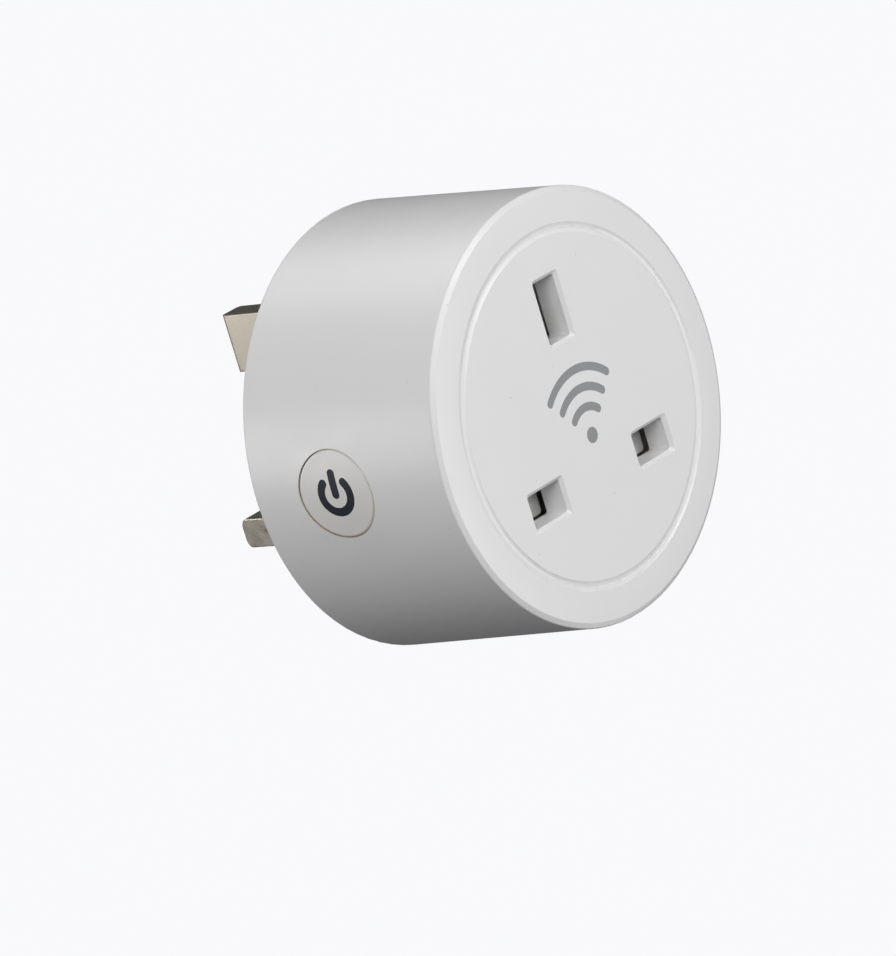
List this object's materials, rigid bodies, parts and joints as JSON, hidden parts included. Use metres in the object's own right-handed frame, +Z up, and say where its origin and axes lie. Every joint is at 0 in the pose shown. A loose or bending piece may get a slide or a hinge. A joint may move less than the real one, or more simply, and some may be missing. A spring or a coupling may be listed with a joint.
{
  "type": "smart plug",
  "caption": "Round plug-in adaptor with a three-pin outlet on its front, a push button on its side and a three-pin plug on its back.",
  "frame": {"origin": "centre of the rear face, where it meets the wall outlet's face", "axes": "+Y into the wall, along the plug pins; +Z up, towards the earth pin; +X to the right when the front face is looked at, on the live side"},
  "size_m": [0.0582, 0.0554, 0.0582],
  "materials": {
    "casing_white": "fine satin texture",
    "button_white": "fine satin texture",
    "symbol_navy": "semi-gloss",
    "sign_grey": "printed",
    "pin_metal": "nickel plated, satin",
    "sleeve_black": "moulded",
    "carrier_brown": "moulded",
    "shutter_grey": "moulded",
    "contact_brass": "stamped sheet",
    "spring_steel": "drawn wire",
    "screw_zinc": "zinc plated",
    "tin": "tinned wire",
    "board_green": "solder mask",
    "board_black": "solder mask",
    "switch_black": "moulded",
    "led_lens": "clear moulded",
    "relay_blue": "moulded",
    "relay_base_black": "moulded",
    "bobbin_white": "moulded",
    "copper_wire": "enamelled winding",
    "soft_iron": "plated iron",
    "capacitor_sleeve": "shrunk sleeve",
    "ferrite": "sintered",
    "tape_yellow": "polyester tape",
    "film_box": "moulded box",
    "varistor_blue": "dipped epoxy",
    "resistor_body": "ceramic coating",
    "chip_black": "moulded epoxy",
    "shield_steel": "tin plated sheet",
    "antenna_gold": "plated track"
  },
  "bodies": {
    "casing": {"outer_shell": "casing_white", "socket_plate": "casing_white", "rear_cover": "casing_white", "front_sign": "sign_grey", "cover_screws": "screw_zinc", "earth_pin": "pin_metal", "live_pin": "pin_metal", "neutral_pin": "pin_metal", "live_pin_sleeve": "sleeve_black", "neutral_pin_sleeve": "sleeve_black", "switch_board": "board_green", "tact_switch_body": "switch_black", "status_led": "led_lens", "shutter_spring": "spring_steel", "contact_carrier": "carrier_brown", "carrier_screws": "screw_zinc", "live_contact": "contact_brass", "neutral_contact": "contact_brass", "earth_contact": "contact_brass", "main_board": "board_green", "board_screws": "screw_zinc", "component_leads": "tin", "relay_base": "relay_base_black", "relay_cover": "relay_blue", "relay_bobbin": "bobbin_white", "relay_coil": "copper_wire", "relay_core": "soft_iron", "relay_yoke": "soft_iron", "relay_fixed_contact": "contact_brass", "upper_capacitor": "capacitor_sleeve", "lower_capacitor": "capacitor_sleeve", "transformer_core": "ferrite", "transformer_winding": "tape_yellow", "transformer_bobbin": "bobbin_white", "choke_core": "ferrite", "choke_winding": "copper_wire", "film_capacitor": "film_box", "varistor": "varistor_blue", "fusible_resistor": "resistor_body", "bridge_rectifier": "chip_black", "supply_chip": "chip_black", "wifi_board": "board_black", "wifi_shield": "shield_steel", "wifi_antenna": "antenna_gold"},
    "button": {"power_button": "button_white", "power_symbol": "symbol_navy"},
    "switch_plunger": {"tact_plunger": "switch_black"},
    "shutter": {"shutter": "shutter_grey"},
    "armature": {"relay_armature": "soft_iron", "relay_moving_contact": "contact_brass"}
  },
  "joints": [
    {"name": "button_press", "type": "slide", "parent": "casing", "child": "button", "axis": [1, 0, 0], "range_m": [0, 0.0003], "stiffness_N_per_m": 3000},
    {"name": "plunger_press", "type": "slide", "parent": "casing", "child": "switch_plunger", "axis": [1, 0, 0], "range_m": [0, 0.0003]},
    {"name": "shutter_lift", "type": "slide", "parent": "casing", "child": "shutter", "axis": [0, 0, 1], "range_m": [0, 0.0052], "stiffness_N_per_m": 60, "springref_m": -0.006, "deforming": ["shutter_spring"]},
    {"name": "armature_pull", "type": "hinge", "parent": "casing", "child": "armature", "pos_m": [0.0109, -0.0198, 0.015], "axis": [1, 0, 0], "range_deg": [0, 4], "stiffness_Nm_per_rad": 0.02, "springref_deg": -2.86}
  ],
  "couplings": [
    {"joint": "plunger_press", "follows": "button_press", "ratio": 1}
  ]
}
